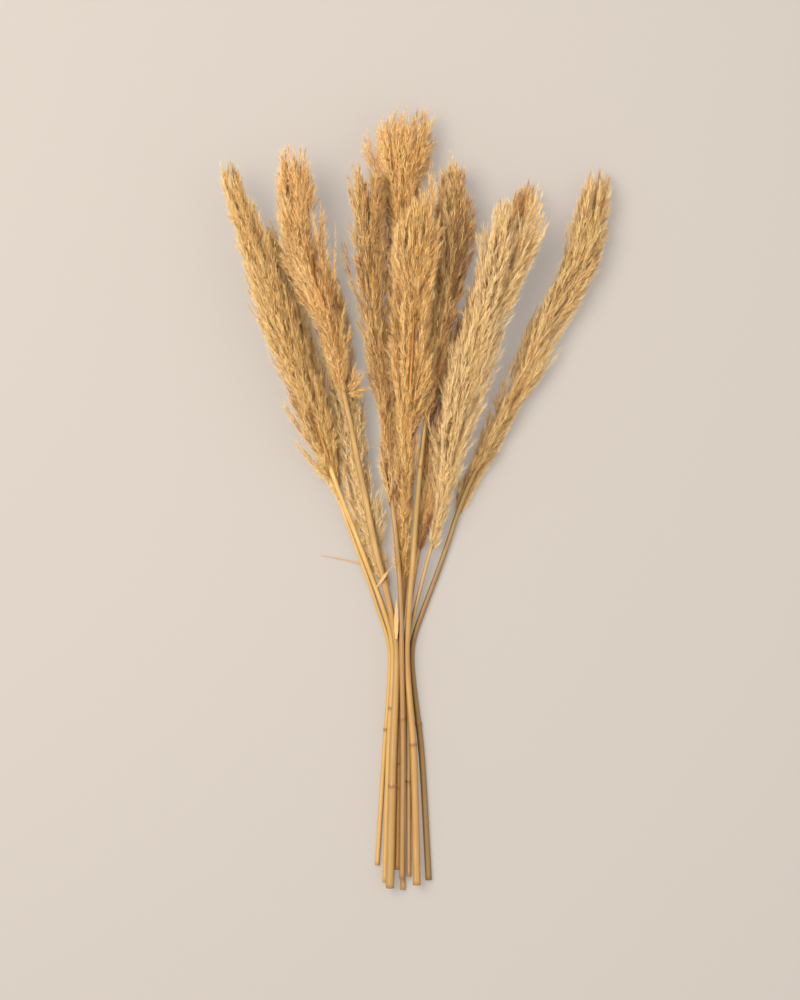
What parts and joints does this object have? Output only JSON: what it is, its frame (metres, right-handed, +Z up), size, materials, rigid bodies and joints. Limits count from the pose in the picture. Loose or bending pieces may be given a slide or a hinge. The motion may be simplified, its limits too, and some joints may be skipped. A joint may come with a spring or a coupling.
{
  "type": "bundle of pampas grass",
  "caption": "Loose bundle of dried pampas grass: slender stems gathered at the middle that fan out into long feathery plumes, lying on a surface.",
  "frame": {"origin": "on the surface, below the middle of the bundle's footprint", "axes": "+Y along the stems from the cut ends to the plume tips, +Z up from the surface that the bundle lies on, +X to the right seen from above"},
  "size_m": [0.3947, 0.7953, 0.0814],
  "materials": {
    "straw_stem": "satin",
    "olive_stem": "satin",
    "gold_plume": "matte",
    "amber_plume": "matte",
    "tan_plume": "matte",
    "brown_plume": "matte",
    "dry_leaf": "matte"
  },
  "bodies": {
    "root": {"stem_01": "straw_stem", "plume_01": "gold_plume", "stem_02": "straw_stem", "plume_02": "tan_plume", "stem_03": "straw_stem", "plume_03": "amber_plume", "stem_04": "straw_stem", "plume_04": "brown_plume", "stem_05": "straw_stem", "plume_05": "brown_plume", "stem_06": "straw_stem", "plume_06": "tan_plume", "stem_07": "straw_stem", "plume_07": "gold_plume", "stem_08": "olive_stem", "plume_08": "brown_plume", "stem_09": "straw_stem", "plume_09": "gold_plume", "stem_10": "olive_stem", "plume_10": "gold_plume", "stem_11": "straw_stem", "plume_11": "brown_plume", "leaf_sheath": "dry_leaf", "leaf_blade": "dry_leaf", "leaf_curl": "dry_leaf"}
  },
  "joints": []
}
